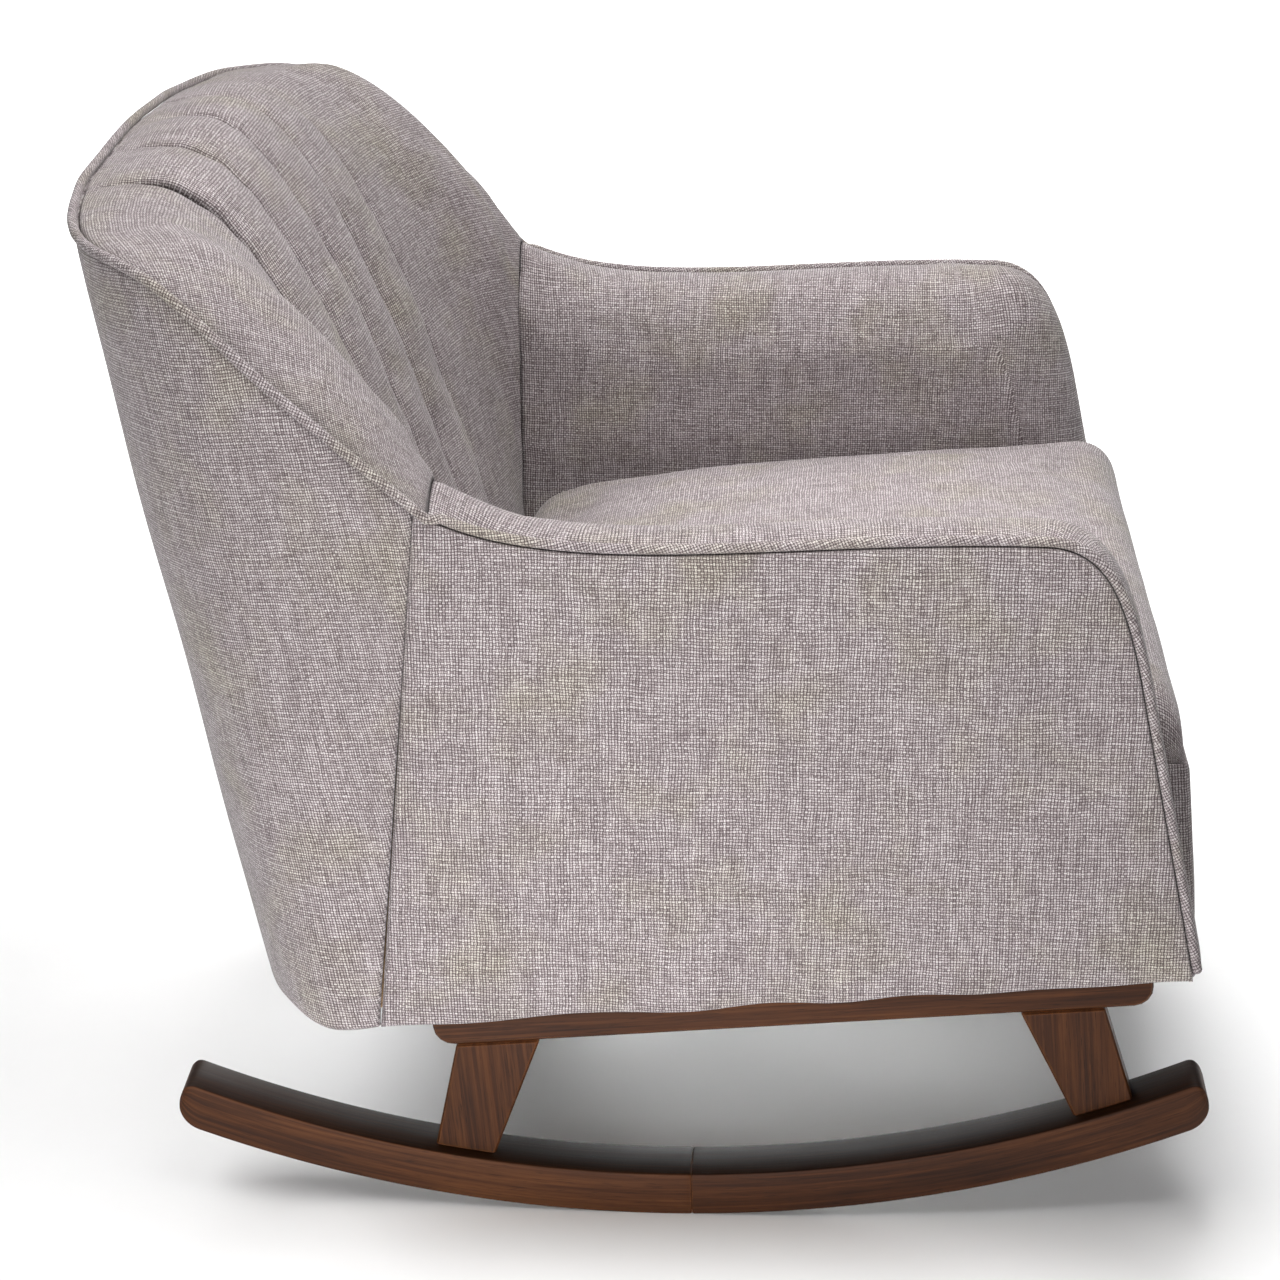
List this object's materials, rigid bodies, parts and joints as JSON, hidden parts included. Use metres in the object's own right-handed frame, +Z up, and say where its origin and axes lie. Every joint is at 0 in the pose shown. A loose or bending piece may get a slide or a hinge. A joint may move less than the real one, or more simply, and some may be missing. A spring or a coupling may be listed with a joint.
{
  "type": "rocking chair",
  "caption": "Compact upholstered rocking chair: barrel back with sewn vertical channels, padded arms and a tight seat on curved wooden rockers.",
  "frame": {"origin": "centre of the bounding box's bottom, where the rockers touch the floor", "axes": "the chair faces -Y, +Z is up, +X is the sitter's left"},
  "size_m": [0.7274, 0.7798, 0.7319],
  "materials": {
    "walnut_stained_wood": "dark walnut stain under satin lacquer",
    "frame_hardwood": "bare hardwood and plywood",
    "woven_fabric": "coarse two-tone weave, mauve grey, matt",
    "upholstery_foam": "open-cell foam, matt",
    "spring_steel": "drawn wire, slightly dull",
    "elastic_webbing": "woven rubberised strap",
    "dust_cloth": "thin black non-woven cloth"
  },
  "bodies": {
    "root": {"arm_cover_left": "woven_fabric", "arm_cover_right": "woven_fabric", "arm_frame_left": "frame_hardwood", "arm_frame_right": "frame_hardwood", "arm_pad_left": "upholstery_foam", "arm_pad_right": "upholstery_foam", "back_bottom_rail": "frame_hardwood", "back_channel_pad_1": "upholstery_foam", "back_channel_pad_2": "upholstery_foam", "back_channel_pad_3": "upholstery_foam", "back_channel_pad_4": "upholstery_foam", "back_post_left": "frame_hardwood", "back_post_right": "frame_hardwood", "back_top_rail": "frame_hardwood", "back_webbing_lower": "elastic_webbing", "back_webbing_upper": "elastic_webbing", "base_bolt_front_left": "spring_steel", "base_bolt_front_right": "spring_steel", "base_bolt_rear_left": "spring_steel", "base_bolt_rear_right": "spring_steel", "base_cross_rail_front": "walnut_stained_wood", "base_cross_rail_rear": "walnut_stained_wood", "base_side_rail_left": "walnut_stained_wood", "base_side_rail_right": "walnut_stained_wood", "dust_cloth": "dust_cloth", "front_border": "woven_fabric", "inside_back_cover": "woven_fabric", "leg_dowel_front_left": "frame_hardwood", "leg_dowel_front_right": "frame_hardwood", "leg_dowel_rear_left": "frame_hardwood", "leg_dowel_rear_right": "frame_hardwood", "leg_front_left": "walnut_stained_wood", "leg_front_right": "walnut_stained_wood", "leg_rear_left": "walnut_stained_wood", "leg_rear_right": "walnut_stained_wood", "outside_arm_panel_left": "woven_fabric", "outside_arm_panel_right": "woven_fabric", "outside_back_panel": "woven_fabric", "rocker_joint_dowel_left": "frame_hardwood", "rocker_joint_dowel_right": "frame_hardwood", "rocker_left_front": "walnut_stained_wood", "rocker_left_rear": "walnut_stained_wood", "rocker_right_front": "walnut_stained_wood", "rocker_right_rear": "walnut_stained_wood", "seat_cover": "woven_fabric", "seat_foam": "upholstery_foam", "seat_front_rail": "frame_hardwood", "seat_rear_rail": "frame_hardwood", "seat_side_rail_left": "frame_hardwood", "seat_side_rail_right": "frame_hardwood", "seat_spring_1": "spring_steel", "seat_spring_2": "spring_steel", "seat_spring_3": "spring_steel", "seat_spring_4": "spring_steel", "welt_cord": "woven_fabric", "wing_pad_left": "upholstery_foam", "wing_pad_right": "upholstery_foam"}
  },
  "joints": []
}
